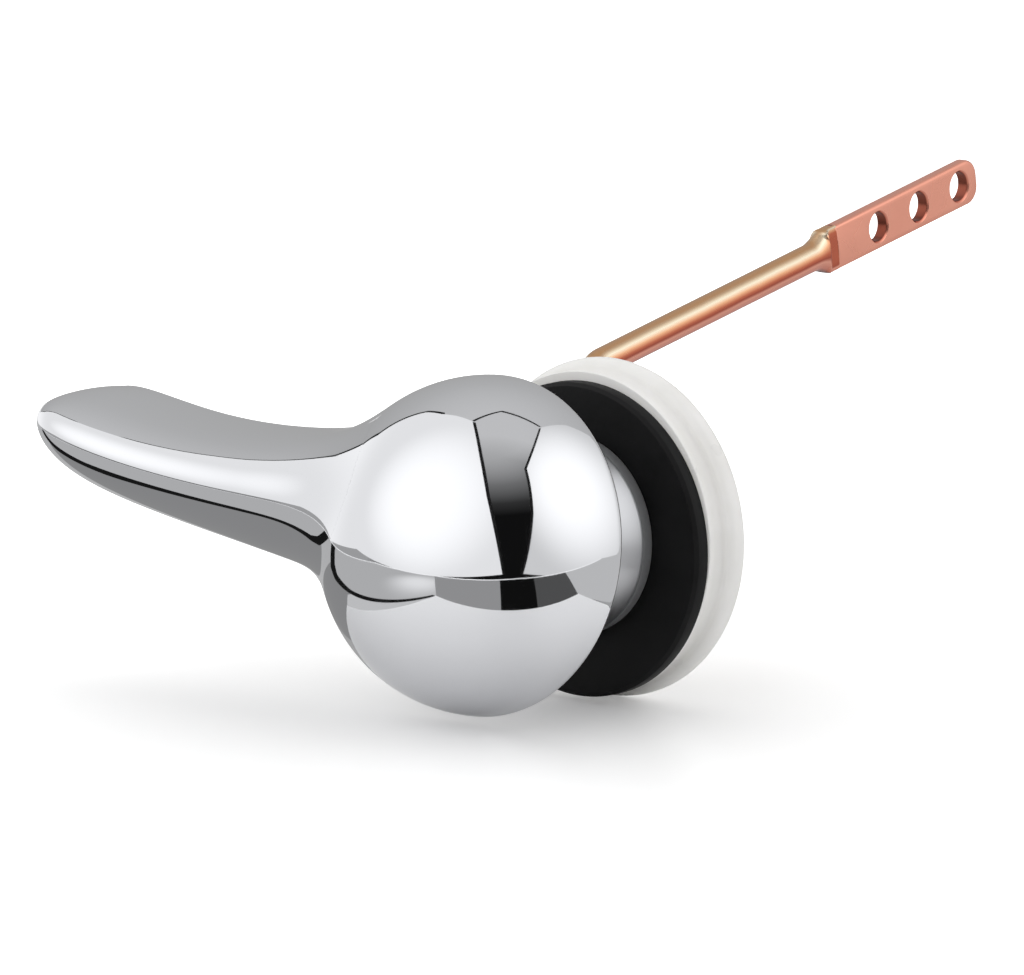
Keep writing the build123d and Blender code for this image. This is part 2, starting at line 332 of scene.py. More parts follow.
# %% Core, boss and stop lug
core_radius = 10.4 * MM
core_floor = handle_back - 20 * MM
boss_radius = 7.2 * MM
boss_end = handle_back + 3 * MM
lug_radius = 9.9 * MM
lug_start = handle_back - 2 * MM
lug_half_angle = radians(10.1)
spindle_radius = 4.5 * MM
spindle_seat = handle_back - 16 * MM


def lug_reach(turn):
    """The boss's radius, larger where the lug stands up."""
    return lug_radius if abs(turn - pi / 2) < lug_half_angle else boss_radius


core_profile = [
    (core_radius, handle_back), (core_radius, core_floor),
    (boss_radius, core_floor), (boss_radius, lug_start),
    (lug_reach, lug_start), (lug_reach, boss_end),
    (spindle_radius, boss_end), (spindle_radius, spindle_seat), (0, spindle_seat),
]
handle_mesh = bmesh.new()
grow_skin(handle_mesh, COLUMNS, rings + [axis_ring(radius, y) for radius, y in core_profile])
close_skin(handle_mesh)
print("ball, hub and core:", len(handle_mesh.faces), "faces")

# %% [markdown]
# The lever's sections are broad ovals, cut flat at the back in line with the ball's back. They thin
# out and rise towards the tip, where they close in a dome. One number goes round each section: it is
# a half turn at the front nose and zero at the middle of the flat back, with a small round between
# the flat and the oval. Each pair of sizes holds the value at the root and at the tip.

# %% Lever
lever_length = -handle_low.x
lever_root = 6 * MM
lever_forwards = (1.2 * MM, 5 * MM)
lever_heights = (27.1 * MM, 12.9 * MM)
lever_depths = (36 * MM, 28 * MM)
lever_rises = (3.4 * MM, 10.5 * MM)
tip_fullness = 15
taper_power = 2.5
rise_power = 3.2
back_power = 4
nose_lift = 2.1 * MM
ridge_place = 0.8
flat_place = 0.5


def between(pair, share):
    """Value between a pair's root and tip."""
    return pair[0] + (pair[1] - pair[0]) * share


def lever_point(share, turn):
    """Point on the lever; share runs from 0 at its root to 1 at its tip."""
    closing = sqrt(max(0, 1 - share ** tip_fullness))
    thinned = 1 - (1 - share) ** taper_power
    half_height = between(lever_heights, thinned) / 2 * closing
    front = between(lever_depths, thinned) / 2 * closing
    ridge_y = ball_centre.y - between(lever_forwards, share ** 2)
    middle_z = ball_centre.z + between(lever_rises, share ** rise_power)
    reach = lever_root + (lever_length - lever_root) * share
    if abs(turn) >= pi / 2 or closing == 0:
        nose_rise = nose_lift * closing * cos(turn) ** 2
        height = middle_z + half_height * sin(turn) + nose_rise
        return Vector((-reach, ridge_y + front * cos(turn), height))
    flat = back_y - ridge_y
    back = (flat ** -back_power + front ** -back_power) ** (-1 / back_power)
    edge = rim_round * half_height / (half_height + rim_round)
    edge_z = half_height * sqrt(1 - ((back - edge) / front) ** 2)
    around = abs(turn) / (pi / 2)
    if around > ridge_place:
        depth = (back - edge) * (1 - around) / (1 - ridge_place)
        above = half_height * sqrt(1 - (depth / front) ** 2)
    elif around > flat_place:
        bend = pi / 2 * (ridge_place - around) / (ridge_place - flat_place)
        depth = back - edge + edge * sin(bend)
        above = edge_z - edge * (1 - cos(bend))
    else:
        depth = back
        above = (edge_z - edge) * around / flat_place
    height = middle_z + (above if turn > 0 else -above)
    return Vector((-reach, ridge_y + depth * (1 + tan(back_slant) * height / flat), height))


print("lever of", round(1000 * lever_length, 1), "mm")

# %% [markdown]
# Near the ball each line along the lever becomes a curve that leaves the lever and lands on the
# casting without a crease: in front on the ball, at the edges on its rim, and behind on its flat
# back. There the skin goes inside the ball and closes, so a mirror shows no seam. On the flat back
# it lies a hair proud of the ball's own skin, because two skins in one plane would show as specks.

# %% Flare onto the ball
LEVER_COLUMNS = 120
landing_front = 18.2 * MM
landing_forward = 2.2 * MM
landing_height = 14.6 * MM
landing_rise = 4.2 * MM
landing_push = 100 * MM
skin_lift = 0.08 * MM
flare_start = 30 * MM
flare_share = (flare_start - lever_root) / (lever_length - lever_root)
flare_steps = 36
flare_reach = 0.42
nudge = 0.002


def rim_across(above):
    """Depth of the rim's front edge at a height from the ball's middle."""
    return (sin(back_slant) * above - rim_ahead) / cos(back_slant)


def on_ball(across, above):
    """Offset from the ball's middle to a point on its handle side."""
    return Vector((-sqrt(ball_radius ** 2 - across ** 2 - above ** 2), across, above))


def rim_point(side, spread, bend):
    """Point on the rim where the lever's top or bottom edge lands; bend is as in rim_ring."""
    above = side * spread * landing_height + landing_rise
    spot = on_ball(rim_across(above), above)
    turn = atan2(spot.dot(ball_side), spot.x)
    return rim_ring(bend)(turn) - ball_axis * skin_lift * bend


def landing_point(spread, turn):
    """Point on the casting where a line of the lever lands; spread widens the outline."""
    side = 1 if turn > 0 else -1
    around = abs(turn) / (pi / 2)
    if around > ridge_place:
        above = spread * landing_height * (sin(turn) if around > 1 else side) + landing_rise
        across = spread * landing_front * cos(turn) - landing_forward
        if around < 1:
            share = (1 - around) / (1 - ridge_place)
            across = (rim_across(above) + landing_forward) * share - landing_forward
        return ball_centre + on_ball(across, above)
    if around > flat_place:
        return rim_point(side, spread, (ridge_place - around) / (ridge_place - flat_place))
    top, bottom = rim_point(1, 1, 1), rim_point(-1, 1, 1)
    return top.lerp(bottom, 0.5 - side * around) + Vector(((spread - 1) * landing_push, 0, 0))


@cache
def flare_curve(turn):
    """Points of the curve that takes one line of the lever onto the ball."""
    leave = lever_point(flare_share, turn)
    land = landing_point(1, turn)
    leave_along = (leave - lever_point(flare_share + nudge, turn)).normalized()
    land_along = (landing_point(1 + nudge, turn) - land).normalized()
    reach = flare_reach * (land - leave).length
    return interpolate_bezier(
        leave, leave + leave_along * reach, land - land_along * reach, land, flare_steps + 1
    )


def flare_ring(step):
    """Ring of the flare, counted from the lever."""
    return lambda turn: flare_curve(turn)[step]


lever_rows = 90
flare_turn = asin(flare_share)
row_turns = [pi / 2 + (flare_turn - pi / 2) * row / lever_rows for row in range(lever_rows + 1)]
lever_rings = [lambda turn, share=sin(row): lever_point(share, turn) for row in row_turns]
lever_rings += [flare_ring(step) for step in range(1, flare_steps + 1)]
print("flare over", round(100 * flare_share), "% of the lever")

# %% [markdown]
# Past its landing the skin runs on just under the ball's surface and then closes at a point inside.
# The first of these rings keeps the landing's line from opening into a slit.

# %% Close the lever inside the ball
past_landing = 1.03
sink_share = 0.0004
sunk = ball_centre + Vector((-8, -4, 4)) * MM
sunk_share = 0.3
lever_rings += [
    lambda turn: landing_point(past_landing, turn).lerp(ball_centre, sink_share),
    lambda turn: flare_curve(turn)[flare_steps].lerp(sunk, sunk_share),
    lambda turn: sunk,
]
grow_skin(handle_mesh, LEVER_COLUMNS, lever_rings)
close_skin(handle_mesh)
add_piece("handle_casting", handle_mesh, "lever", "handle", chrome)

# %% [markdown]
# The sleeve is turned from one bar: a flared collar that shows beside the ball, and a barrel through
# the tank wall. It is one closed profile carried round the axis. The barrel's thread runs
# left-handed, so that the nut doesn't loosen when the lever is pressed. It is one V-shaped face spun
# round the axis with a step back for each turn, sunk a little into the barrel's core.

# %% Threaded sleeve
sleeve_low, sleeve_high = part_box("threaded_sleeve")
collar_front = sleeve_low.y
barrel_end = sleeve_high.y
base_radius = sleeve_high.x
neck_radius = 11.6 * MM
collar_back = -2.3 * MM
land_front = collar_back - 1.9 * MM
cone_front = land_front - 4.6 * MM
barrel_radius = 8.0 * MM
barrel_chamfer = 0.6 * MM
thread_root = 7.25 * MM
nose_recess = collar_front + 3.0 * MM
nose_radius = boss_radius + 0.3 * MM
nose_round = 0.4 * MM
land_round = 0.2 * MM
stop_radius = lug_radius + 0.3 * MM
stop_sweep = radians(78), radians(137)
spring_floor = collar_back - 2.7 * MM
spring_pocket = 7.0 * MM
bore_radius = spindle_radius + 0.05 * MM


def stop_reach(turn):
    """The recess in the collar's front, wider over the angle that the lug sweeps."""
    return stop_radius if stop_sweep[0] < turn < stop_sweep[1] else nose_radius


edge_break = 0.25 * MM
break_rise = edge_break * (base_radius - neck_radius) / (land_front - cone_front)
sleeve_profile = corner_round(neck_radius - nose_round, collar_front + nose_round, nose_round, -90)
sleeve_profile += [
    (neck_radius, cone_front - edge_break), (neck_radius + 0.5 * break_rise, cone_front),
    (neck_radius + break_rise, cone_front + edge_break),
    (base_radius - break_rise, land_front - edge_break),
    (base_radius - 0.4 * break_rise, land_front), (base_radius, land_front + edge_break),
]
sleeve_profile += corner_round(base_radius - land_round, collar_back - land_round, land_round, 0, 3)
sleeve_profile += [
    (thread_root, collar_back), (thread_root, barrel_end - barrel_chamfer),
    (thread_root - barrel_chamfer, barrel_end), (bore_radius, barrel_end),
    (bore_radius, spring_floor), (spring_pocket, spring_floor), (spring_pocket, nose_recess),
    (stop_reach, nose_recess), (stop_reach, collar_front), sleeve_profile[0],
]
sleeve_mesh = bmesh.new()
grow_skin(sleeve_mesh, COLUMNS, [axis_ring(radius, y) for radius, y in sleeve_profile])
close_skin(sleeve_mesh)
thread_pitch = 1.5 * MM
thread_turns = 9.6
thread_steps = 72
thread_start = barrel_end - 1.0 * MM
ridge_foot, ridge_top = 0.62 * MM, 0.12 * MM
ridge_base = thread_root - 0.05 * MM
ridge = [
    (-ridge_foot, ridge_base), (-ridge_top, barrel_radius),
    (ridge_top, barrel_radius), (ridge_foot, ridge_base),
]
ridge_verts = [sleeve_mesh.verts.new((radius, thread_start + along, 0)) for along, radius in ridge]
ridge_face = bmesh.ops.contextual_create(sleeve_mesh, geom=ridge_verts)["faces"]
bmesh.ops.spin(
    sleeve_mesh, geom=ridge_face, cent=(0, 0, 0), axis=(0, 1, 0), angle=2 * pi * thread_turns,
    dvec=(0, -thread_pitch / thread_steps, 0), steps=int(thread_steps * thread_turns),
    use_merge=False,
)
bmesh.ops.recalc_face_normals(sleeve_mesh, faces=sleeve_mesh.faces[:])
print("sleeve:", len(sleeve_mesh.faces), "faces")

# %% [markdown]
# The collar's cone is plated and softly polished, so it mirrors the ball only as a blur. The land
# behind it and the barrel are a duller dark grey, less metallic and rougher, so they look darker
# beside the plate. Both are one piece, so the finish changes where the land starts.

# %% Turned collar plate
collar_plate, tree, shader, place = new_finish("turned_collar_plate")
along = add_node(tree, "ShaderNodeSeparateXYZ", links={"Vector": place}).outputs["Y"]
behind = reckon(tree, "GREATER_THAN", along, land_front)
plate_colour = add_node(
    tree, "ShaderNodeMix", {"A": linear("CFD0D3"), "B": linear("8C8D8F")}, {"Factor": behind},
    data_type="RGBA",
)
tree.links.new(plate_colour.outputs["Result"], shader.inputs["Base Color"])
for socket, (on_cone, on_land) in {"Roughness": (0.3, 0.45), "Metallic": (1.0, 0.3)}.items():
    level = add_node(
        tree, "ShaderNodeMapRange", {"To Min": on_cone, "To Max": on_land}, {"Value": behind}
    )
    tree.links.new(level.outputs["Result"], shader.inputs[socket])
add_piece(
    "collar_and_barrel", sleeve_mesh, "mount", "threaded_sleeve", collar_plate
)

# %% [markdown]
# The washer is moulded EPDM rubber, black from its carbon filler. The mould leaves it dull, with a
# fine grain and a little bloom, so it shows no sharp reflection. The real grain is finer than a
# pixel, so it is drawn a little coarser.

# %% Moulded rubber
BLOOM_PATCH = 5 * MM
RUBBER_GRAIN = 0.45 * MM
rubber, tree, shader, place = new_finish("moulded_epdm_rubber")
bloom = noise(tree, place, BLOOM_PATCH, 4.0)
vary_colour(tree, shader, bloom, [(0.35, linear("0B0B0C")), (0.7, linear("141415"))])
shader.inputs["Specular IOR Level"].default_value = 0.2
vary_roughness(tree, shader, bloom, 0.5, 0.62)
add_relief(tree, shader, noise(tree, place, RUBBER_GRAIN, 2.0), 0.4, 0.03 * MM)
print(rubber.name)

# %% [markdown]
# The washer is a plain ring, a little low on the barrel, as a loose one hangs. A torus or a bevelled
# cylinder would do, but a profile carried round the axis gives each edge its own round. The front
# edge has a bevel that catches a thin line of light.

# %% Rubber washer
washer_low, washer_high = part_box("rubber_washer")
washer_radius = washer_high.x
washer_drop = washer_radius - washer_high.z
washer_bore = 9.1 * MM
washer_bevel = 0.6 * MM
washer_edge = 0.15 * MM
bevel_soft = 0.1 * MM
front_sink, rim_sink = 0.03 * MM, 0.05 * MM
washer_profile = [
    (washer_radius - washer_bevel - washer_edge, washer_low.y),
    (washer_radius - washer_bevel + bevel_soft, washer_low.y + front_sink),
    (washer_radius - rim_sink, washer_low.y + washer_bevel - bevel_soft),
    (washer_radius, washer_low.y + washer_bevel + washer_edge),
]
for radius, y, start in [
    (washer_radius - washer_edge, washer_high.y - washer_edge, 0),
    (washer_bore + washer_edge, washer_high.y - washer_edge, 90),
    (washer_bore + washer_edge, washer_low.y + washer_edge, 180),
]:
    washer_profile += corner_round(radius, y, washer_edge, start, 3)
washer_profile.append(washer_profile[0])
washer_rings = [axis_ring(radius, y, drop=washer_drop) for radius, y in washer_profile]
washer_mesh = bmesh.new()
grow_skin(washer_mesh, COLUMNS, washer_rings)
close_skin(washer_mesh)
add_piece("sealing_washer", washer_mesh, "mount", "rubber_washer", rubber)

# %% [markdown]
# The nut is moulded in white polypropylene. It lets a little light in, so its edges look soft, and
# its skin is half glossy with a faint mottle and the ripples of the plastic's flow.

# %% White polypropylene
MOTTLE = 7 * MM
FLOW_RIPPLE = 1.5 * MM
plastic, tree, shader, place = new_finish("white_moulded_polypropylene")
mottle = noise(tree, place, MOTTLE, 3.0)
vary_colour(
    tree, shader, mottle, [(NOISE_LOW, linear("EFEEEB")), (NOISE_HIGH, linear("F5F4F2"))]
)
shader.inputs["IOR"].default_value = 1.49
shader.inputs["Subsurface Weight"].default_value = 0.15
shader.inputs["Subsurface Radius"].default_value = (1 * MM, 1 * MM, 0.9 * MM)
shader.inputs["Subsurface Scale"].default_value = 1.0
vary_roughness(tree, shader, mottle, 0.26, 0.38)
add_relief(tree, shader, noise(tree, place, FLOW_RIPPLE, 2.0), 0.3, 0.02 * MM)
print(plastic.name)

# %% [markdown]
# A thin lip faces the wall, then a shallow groove, then a fat rounded flange, and a hexagon for the
# wrench stands behind. It could be a cylinder joined to a prism, but a radius that depends on the
# angle lets the same rings turn from round to six-sided.

# %% Tank nut
nut_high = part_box("tank_nut")[1]
flange_radius = nut_high.x
nut_back = nut_high.y
lip_radius = 21.5 * MM
lip_width = 0.6 * MM
lip_round = 0.15 * MM
groove_depth = 0.7 * MM
flange_start = 3.2 * MM
flange_end = 6.4 * MM
hex_flat = 14 * MM
hex_corner = 15.8 * MM
hex_chamfer = 0.8 * MM
hex_cove, hex_cove_rise = 0.5 * MM, 0.4 * MM
nut_bore = 8.1 * MM
bore_chamfer = 0.4 * MM


def hex_reach(inset):
    """Radius of the wrench hexagon, with blunted corners."""
    def reach(turn):
        aside = (turn % radians(60)) - radians(30)
        return min(hex_flat / cos(aside), hex_corner) - inset
    return reach


def arc_between(start, middle_radius, end, steps=14):
    """Profile points of a bow from start to end whose middle is at a given radius."""
    rise = middle_radius - start[0]
    half = (end[1] - start[1]) / 2
    turns = [pi * step / steps for step in range(steps + 1)]
    return [(start[0] + rise * sin(turn), start[1] + half * (1 - cos(turn))) for turn in turns]


lip_end, flange_foot, flange_heel = (
    (lip_radius, y) for y in (lip_width, flange_start, flange_end)
)
nut_profile = corner_round(lip_radius - lip_round, lip_round, lip_round, -90, 3)
nut_profile += arc_between(lip_end, lip_radius - groove_depth, flange_foot)
nut_profile += arc_between(flange_foot, flange_radius, flange_heel)[1:]
nut_profile += [
    (hex_reach(-hex_cove), flange_end), (hex_reach(0), flange_end + hex_cove_rise),
    (hex_reach(0), nut_back - hex_chamfer), (hex_reach(hex_chamfer), nut_back),
    (nut_bore + bore_chamfer, nut_back), (nut_bore, nut_back - bore_chamfer),
    (nut_bore, bore_chamfer), (nut_bore + bore_chamfer, 0), nut_profile[0],
]
nut_mesh = bmesh.new()
grow_skin(nut_mesh, COLUMNS, [axis_ring(radius, y) for radius, y in nut_profile])
close_skin(nut_mesh)
add_piece("flange_nut", nut_mesh, "nut", "tank_nut", plastic)

# %% [markdown]
# The lift rod is drawn steel wire with a copper-coloured finish under a clear lacquer. Its colour
# also carries painted light: a painted cream highlight and a brassy painted reflection along the
# rod's top, a painted dark reflection band and redder tones below, and painted shade inside the
# holes, so an attribute on the mesh says how high each face looks. Drawing leaves fine lines along
# the rod, and a Mapping node turns that pattern to lie along it. The real lines are a few hundredths
# of a millimetre apart, and are drawn ten times coarser to show.

# %% Copper-coloured drawn wire, with painted light
TONE_PATCH = 6 * MM
TONE_SHIFT = 0.03
LINE_SPACING = 0.3 * MM
LINE_STRETCH = 0.03
arm_heading = radians(4.4)
arm_climb = radians(9.25)
copper, tree, shader, place = new_finish("copper_wire_with_painted_light")
shader.inputs["Metallic"].default_value = 1.0
tone = noise(tree, place, TONE_PATCH, 3.0)
painted_light = add_node(tree, "ShaderNodeAttribute", attribute_name="painted_light").outputs["Fac"]
shift = add_node(
    tree, "ShaderNodeMapRange", {"To Min": -TONE_SHIFT, "To Max": TONE_SHIFT}, {"Value": tone}
)
# Painted light by facing: a shaded dark underside, a painted dark reflection band near the middle, a
# painted cream highlight near the top and a darker top edge; the noise only shifts it a little.
vary_colour(tree, shader, reckon(tree, "ADD", painted_light, shift.outputs["Result"]), [
    (0.04, linear("6E3326")), (0.15, linear("E08A74")),
    (0.36, linear("FFB39B")), (0.45, linear("BE5F4A")),
    (0.55, linear("CF7355")), (0.68, linear("F0B48A")),
    (0.8, linear("FFF3D8")), (0.95, linear("DDAA7A")),
])
vary_roughness(tree, shader, tone, 0.22, 0.32)
along_rod = add_node(
    tree, "ShaderNodeMapping",
    {"Rotation": (-arm_climb, 0, -arm_heading), "Scale": (1, LINE_STRETCH, 1)}, {"Vector": place},
)
lines = noise(tree, along_rod.outputs["Vector"], LINE_SPACING, 1.0)
add_relief(tree, shader, lines, 0.25, 0.01 * MM)
print(copper.name)

# %% [markdown]
# The rod goes straight out of the spindle, bends round a pin and runs on to a flattened end with
# three holes for the chain. Its rings follow that line. Near the end the circle turns into a flat
# rounded oblong, ring by ring.

# %% Lift rod
ROD_COLUMNS = 64
rod_radius = 1.95 * MM
rod_break = 0.3 * MM
crank_angle = radians(49.8)
crank_radius = 25.5 * MM
arm_length = 90.5 * MM
arm_bend = 6.0 * MM
arm_y = 21.0 * MM
stub = 6.5 * MM
shoulder_length = 5.6 * MM
paddle_length = 32.4 * MM
paddle_width = 6.2 * MM
paddle_thickness = 1.9 * MM
crank_along = Vector((-sin(crank_angle), 0, cos(crank_angle)))
arm_along = Vector((
    -sin(arm_heading) * cos(arm_climb), cos(arm_heading) * cos(arm_climb), sin(arm_climb)
))
paddle_out = Vector((cos(arm_heading), sin(arm_heading), 0))
paddle_across = paddle_out.cross(arm_along)
arm_start = Vector((0, arm_y, 0)) - crank_along * stub
arm_corner = Vector((0, arm_y, 0)) + crank_along * crank_radius
paddle_start = arm_corner + arm_along * (arm_length - paddle_length)
bend_axis = crank_along.cross(arm_along).normalized()
bend_angle = crank_along.angle(arm_along)
bend_inward = bend_axis.cross(crank_along)
bend_start = arm_corner - crank_along * arm_bend * tan(bend_angle / 2)
bend_middle = bend_start + bend_inward * arm_bend
bend_steps = 20
shoulder_steps = 24
press_start, press_length, widen_length = 0.45, 0.22, 0.7
round_power, flat_power = 2, 8


def rod_ring(middle, along, radius):
    """Circle across the rod."""
    other = along.cross(bend_axis)
    return lambda turn: middle + (bend_axis * cos(turn) + other * sin(turn)) * radius


def smooth_step(share):
    """Share that starts and ends gently, held between 0 and 1."""
    share = min(1, max(0, share))
    return share * share * (3 - 2 * share)


def shoulder_ring(share):
    """Outline across the shoulder, from the round rod at 0 to the flat oblong at 1."""
    middle = paddle_start - arm_along * shoulder_length * (1 - share)
    other = arm_along.cross(bend_axis)
    pressed = smooth_step((share - press_start) / press_length)
    widened = smooth_step(share / widen_length)
    half_thick = rod_radius + (paddle_thickness / 2 - rod_radius) * pressed
    half_wide = rod_radius + (paddle_width / 2 - rod_radius) * widened
    power = round_power + flat_power * pressed

    def place(turn):
        spoke = bend_axis * cos(turn) + other * sin(turn)
        thick = abs(spoke.dot(paddle_out)) / half_thick
        wide = abs(spoke.dot(paddle_across)) / half_wide
        return middle + spoke * (thick ** power + wide ** power) ** (-1 / power)
    return place


rod_rings = [
    rod_ring(arm_start, crank_along, 0), rod_ring(arm_start, crank_along, rod_radius - rod_break),
    rod_ring(arm_start + crank_along * rod_break, crank_along, rod_radius),
]
for step in range(bend_steps + 1):
    turn = bend_angle * step / bend_steps
    along = crank_along * cos(turn) + bend_inward * sin(turn)
    middle = bend_middle + (crank_along * sin(turn) - bend_inward * cos(turn)) * arm_bend
    rod_rings.append(rod_ring(middle, along, rod_radius))
rod_rings += [shoulder_ring(step / shoulder_steps) for step in range(shoulder_steps + 1)]
rod_rings += [lambda turn: paddle_start]
rod_mesh = bmesh.new()
grow_skin(rod_mesh, ROD_COLUMNS, rod_rings)
close_skin(rod_mesh)
painted_light_layer = rod_mesh.verts.layers.float.new("painted_light")
# Painted light: each vertex gets how high its face looks, which picks its painted highlight or shade.
for vert in rod_mesh.verts:
    vert[painted_light_layer] = 0.5 + 0.5 * vert.normal.z
print("rod:", len(rod_mesh.faces), "faces")

# %% [markdown]
# The flattened end is a plate with rounded edges and three punched holes with broken rims. Its outer
# wall and each hole's wall are skins of rings, and its two flat faces are filled between them. Its
# faces look sideways, so they get one even painted tone, and the walls of the holes a painted shade.

# %% Flattened end with its holes
FACE_PAINTED_LIGHT, HOLE_PAINTED_SHADE = 0.33, 0.06
HOLE_COLUMNS = 40
edge_soft = 0.5 * MM
edge_steps = 5
corner_size = 2.4 * MM
corner_points = 12
outline_points = 2 * corner_points + 4
overlap = 0.6 * MM
hole_count = 3
hole_radius = 2.0 * MM
hole_break = 0.25 * MM
hole_pitch = 9.4 * MM
hole_end = 4.2 * MM
half_thick = paddle_thickness / 2


def plate_point(along, across, above):
    """Point of the flattened end from its own length, width and thickness."""
    return paddle_start + arm_along * along + paddle_across * across + paddle_out * above


def outline_ring(inset, above):
    """Outline of the plate, drawn in by an inset, at a height from its middle."""
    half = paddle_width / 2
    spots = [(inset - overlap, -half + inset)]
    for side in (-1, 1):
        for step in range(corner_points + 1):
            turn = radians(-90 + 90 * step / corner_points + (90 if side > 0 else 0))
            spots.append((
                paddle_length - corner_size + (corner_size - inset) * cos(turn),
                side * (half - corner_size) + (corner_size - inset) * sin(turn),
            ))
    spots.append((inset - overlap, half - inset))

    def place(turn):
        number = round(turn / (2 * pi) * outline_points) % outline_points
        return plate_point(*spots[number], above)
    return place


def hole_ring(along, radius, above):
    """Circle of a chain hole at a height from the plate's middle."""
    return lambda turn: plate_point(along + radius * cos(turn), radius * sin(turn), above)


edge_turns = [radians(90 * step / edge_steps) for step in range(edge_steps + 1)]
plate_rings = [
    outline_ring(edge_soft * (1 - cos(turn)), half_thick - edge_soft * (1 - sin(turn)))
    for turn in edge_turns[::-1]
]
plate_rings += [
    outline_ring(edge_soft * (1 - cos(turn)), edge_soft * (1 - sin(turn)) - half_thick)
    for turn in edge_turns
]
rod_verts = set(rod_mesh.verts)
grow_skin(rod_mesh, outline_points, plate_rings)
for vert in set(rod_mesh.verts) - rod_verts:
    vert[painted_light_layer] = FACE_PAINTED_LIGHT
plate_verts = set(rod_mesh.verts)
for number in range(hole_count):
    along = paddle_length - hole_end - hole_pitch * number
    grow_skin(rod_mesh, HOLE_COLUMNS, [
        hole_ring(along, hole_radius + hole_break, half_thick),
        hole_ring(along, hole_radius, half_thick - hole_break),
        hole_ring(along, hole_radius, hole_break - half_thick),
        hole_ring(along, hole_radius + hole_break, -half_thick),
    ])
# Hole walls get the painted shade, and the rims on the faces keep the faces' painted tone.
for vert in set(rod_mesh.verts) - plate_verts:
    vert[painted_light_layer] = FACE_PAINTED_LIGHT if vert.is_boundary else HOLE_PAINTED_SHADE
for side in (-1, 1):
    rims = [
        edge for edge in rod_mesh.edges
        if edge.is_boundary and (edge.verts[0].co - paddle_start).dot(paddle_out) * side > 0
    ]
    bmesh.ops.triangle_fill(
        rod_mesh, use_beauty=True, use_dissolve=False, edges=rims, normal=paddle_out * side
    )
close_skin(rod_mesh)
add_piece("lift_rod", rod_mesh, "lever", "lift_arm", copper)

# %% [markdown]
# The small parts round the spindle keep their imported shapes, and only get finishes. Turned brass
# shows fine rings round its axis, nylon is milky, and the steel parts are dull grey. A function sets
# the shared part of the metals, and rings come from a wave pattern along the axis. A wave texture
# draws bands 0.314 of a unit apart at a scale of one, so its scale follows from their spacing.

# %% Small metal and nylon parts
SHADE_PATCH = 3 * MM
MILK_PATCH = 2 * MM
WAVE_UNIT = 0.314
shade_share = 0.85


def turned_metal(name, code, rough, spacing):
    """Metal turned or drawn, with fine rings round the lever's axis."""
    metal, tree, shader, place = new_finish(name)
    shader.inputs["Metallic"].default_value = 1.0
    shader.inputs["Roughness"].default_value = rough
    shaded = [shade_share * part for part in linear(code)[:3]] + [1.0]
    shade = noise(tree, place, SHADE_PATCH, 3.0)
    vary_colour(tree, shader, shade, [(NOISE_LOW, shaded), (NOISE_HIGH, linear(code))])
    grooves = add_node(
        tree, "ShaderNodeTexWave", {"Scale": WAVE_UNIT / spacing, "Distortion": 1.0},
        {"Vector": place}, wave_type="BANDS", bands_direction="Y",
    )
    add_relief(tree, shader, grooves.outputs["Fac"], 0.3, 0.01 * MM)
    return metal


nylon, tree, shader, place = new_finish("moulded_nylon")
milk = noise(tree, place, MILK_PATCH, 2.0)
vary_colour(tree, shader, milk, [(NOISE_LOW, linear("E6E2D4")), (NOISE_HIGH, linear("EEEBE0"))])
shader.inputs["Roughness"].default_value = 0.45
shader.inputs["IOR"].default_value = 1.53
finishes = {
    "spindle": turned_metal("turned_brass", "D3AE6A", 0.24, 0.25 * MM),
    "return_spring": turned_metal("drawn_spring_steel", "A9AAAD", 0.32, 0.3 * MM),
    "retaining_clip": turned_metal("stamped_spring_steel", "B4B5B8", 0.3, 0.3 * MM),
    "arm_grub_screw": turned_metal("blackened_screw_steel", "6E6F73", 0.36, 0.25 * MM),
    "thrust_washer": nylon,
}
for node, finish in finishes.items():
    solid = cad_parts[node]
    solid.data.materials.clear()
    solid.data.materials.append(finish)
print("finishes on", ", ".join(finishes))

# %% [markdown]
# Chrome shows the studio more than itself, so the studio is part of the picture. White cloth panels
# stand left and right of the lever, leaning together overhead, with a slit between them in front and
# an open, grey room behind. Each panel is cut to the directions in which the ball should see its
# corners, and a dark frame stands behind it, which draws a line along its edges. The left panel goes
# on in a wing. The camera sees none of them.

# %% Panels
panel_distance = 0.6
frame_gap = 1.02
view_forward = Vector((sin(view_azimuth), -cos(view_azimuth), 0))


def direction(azimuth, elevation):
    """Direction from the ball; azimuth counts to the right from the camera, in degrees."""
    turn, rise = radians(azimuth), radians(elevation)
    level = view_right * sin(turn) + view_forward * cos(turn)
    return level * cos(rise) + Vector((0, 0, sin(rise)))


def cloth_finish(name, hot, reach, strengths):
    """Glowing board, brightest at one spot and weaker towards the edges: cloth lit from behind for a
    panel, painted light and shade for a table board.
    """
    cloth, tree, shader, place = new_finish(name)
    spot = add_node(
        tree, "ShaderNodeMapping",
        {"Location": -hot / reach, "Scale": (1 / reach, 1 / reach, 1 / reach)}, {"Vector": place},
    )
    fade = add_node(
        tree, "ShaderNodeTexGradient", links={"Vector": spot.outputs["Vector"]},
        gradient_type="SPHERICAL",
    )
    level = add_node(
        tree, "ShaderNodeMapRange", {"To Min": strengths[1], "To Max": strengths[0]},
        {"Value": fade.outputs["Fac"]}, interpolation_type="SMOOTHERSTEP",
    )
    glow = add_node(tree, "ShaderNodeEmission", links={"Strength": level.outputs["Result"]})
    tree.links.new(glow.outputs["Emission"], tree.nodes["Material Output"].inputs["Surface"])
    return cloth


